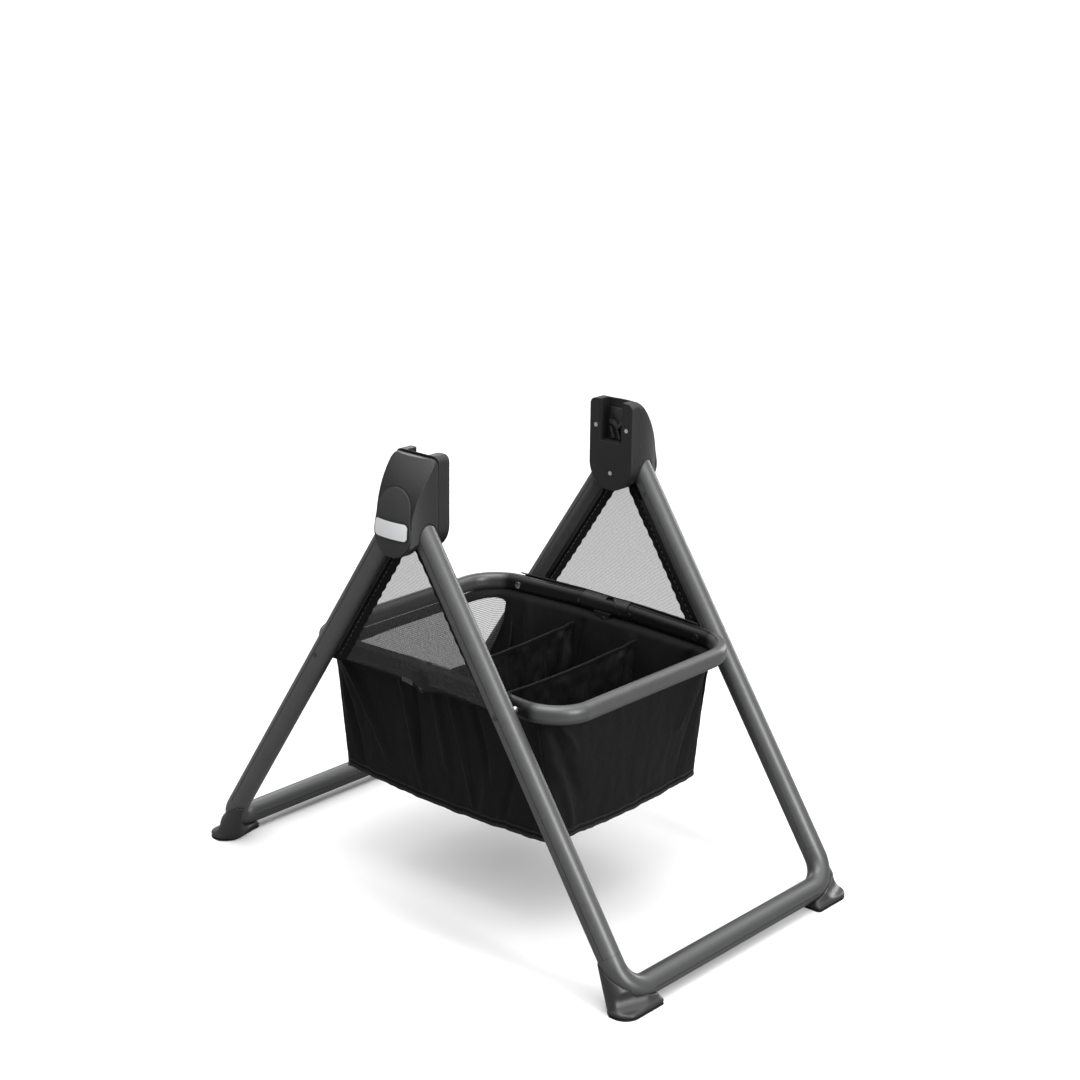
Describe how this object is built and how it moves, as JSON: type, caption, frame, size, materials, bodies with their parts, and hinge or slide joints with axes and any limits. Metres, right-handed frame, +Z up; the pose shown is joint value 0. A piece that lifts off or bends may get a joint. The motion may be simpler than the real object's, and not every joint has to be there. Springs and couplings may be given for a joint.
{
  "type": "folding carry-cot stand",
  "caption": "Folding stand with two upright adapter hubs on splayed tube legs, a folding basket rim and a hanging storage basket with dividers.",
  "frame": {"origin": "on the floor, at the middle of the box around the four feet", "axes": "+X from the left hub to the right hub, +Y from the front feet to the rear feet, +Z up"},
  "size_m": [0.5502, 0.87, 0.702],
  "materials": {
    "leg_paint": "satin graphite powder coat with a fine sparkle",
    "hub_shell": "satin charcoal moulding",
    "hub_plate": "fine-textured black moulding",
    "cover_plastic": "fine matt charcoal moulding",
    "badge_silver": "brushed, blank",
    "black_plastic": "matt black",
    "foot_plastic": "satin charcoal moulding",
    "sole_rubber": "matt",
    "zinc_screw": "zinc plated",
    "bright_steel": "turned and polished",
    "dark_steel": "blackened",
    "basket_cloth": "tight black plain weave",
    "lining_cloth": "black plain weave, lighter inside",
    "window_net": "dark grey net, about half open",
    "panel_net": "fine dark grey net, about half open",
    "band_cloth": "dark grey twill",
    "label_cloth": "woven label, blank",
    "stiff_board": "fibre board"
  },
  "bodies": {
    "hubs": {"left_inner_plate": "hub_plate", "right_inner_plate": "hub_plate", "left_socket_housing": "hub_plate", "right_socket_housing": "hub_plate", "left_outer_shell": "hub_shell", "right_outer_shell": "hub_shell", "left_cover_plate": "cover_plastic", "right_cover_plate": "cover_plastic", "left_badge": "badge_silver", "right_badge": "badge_silver", "left_catch_ribs": "black_plastic", "right_catch_ribs": "black_plastic", "left_hub_screws": "zinc_screw", "right_hub_screws": "zinc_screw", "left_leg_pivot_pins": "dark_steel", "right_leg_pivot_pins": "dark_steel", "storage_basket": "basket_cloth", "rear_mesh_window": "window_net", "front_divider": "lining_cloth", "rear_divider": "lining_cloth", "left_mesh_panel": "panel_net", "right_mesh_panel": "panel_net", "left_side_band": "band_cloth", "right_side_band": "band_cloth", "side_label": "label_cloth", "basket_floor_board": "stiff_board"},
    "front_legs": {"front_left_leg": "leg_paint", "front_right_leg": "leg_paint", "front_left_leg_plug": "black_plastic", "front_right_leg_plug": "black_plastic", "front_left_keder_rail": "black_plastic", "front_right_keder_rail": "black_plastic", "front_ground_tube": "leg_paint", "front_left_foot": "foot_plastic", "front_right_foot": "foot_plastic", "front_foot_pads": "sole_rubber", "front_rim_stub_pins": "bright_steel", "front_plug_screws": "dark_steel"},
    "rear_legs": {"rear_left_leg": "leg_paint", "rear_right_leg": "leg_paint", "rear_left_leg_plug": "black_plastic", "rear_right_leg_plug": "black_plastic", "rear_left_keder_rail": "black_plastic", "rear_right_keder_rail": "black_plastic", "rear_ground_tube": "leg_paint", "rear_left_foot": "foot_plastic", "rear_right_foot": "foot_plastic", "rear_foot_pads": "sole_rubber", "rear_rim_pivot_pins": "bright_steel", "rear_plug_screws": "dark_steel"},
    "front_rim": {"front_rim_tube": "leg_paint", "front_left_knuckle": "black_plastic", "front_right_knuckle": "black_plastic", "front_knuckle_screws": "dark_steel", "front_rim_rivets": "dark_steel"},
    "rear_rim": {"rear_rim_tube": "leg_paint", "rear_left_knuckle": "black_plastic", "rear_right_knuckle": "black_plastic", "rear_knuckle_screws": "dark_steel", "rim_hinge_pins": "dark_steel"}
  },
  "joints": [
    {"name": "front_leg_fold", "type": "hinge", "parent": "hubs", "child": "front_legs", "pos_m": [0, -0.0185, 0.612], "axis": [1, 0, 0], "range_deg": [0, 31], "deforming": ["storage_basket", "rear_mesh_window", "front_divider", "rear_divider", "left_mesh_panel", "right_mesh_panel", "left_side_band", "right_side_band", "side_label"]},
    {"name": "rear_leg_fold", "type": "hinge", "parent": "hubs", "child": "rear_legs", "pos_m": [0, 0.0185, 0.612], "axis": [-1, 0, 0], "range_deg": [0, 31]},
    {"name": "rear_rim_pivot", "type": "hinge", "parent": "rear_legs", "child": "rear_rim", "pos_m": [0, 0.18074, 0.3675], "axis": [-1, 0, 0], "range_deg": [0, 53.23]},
    {"name": "rim_mid_hinge", "type": "hinge", "parent": "rear_rim", "child": "front_rim", "pos_m": [0, 0, 0.354], "axis": [1, 0, 0], "range_deg": [0, 168.45]}
  ],
  "couplings": [
    {"joint": "rear_leg_fold", "follows": "front_leg_fold", "ratio": 1},
    {"joint": "rear_rim_pivot", "follows": "front_leg_fold", "ratio": 1.7167},
    {"joint": "rim_mid_hinge", "follows": "front_leg_fold", "ratio": 5.4335}
  ]
}
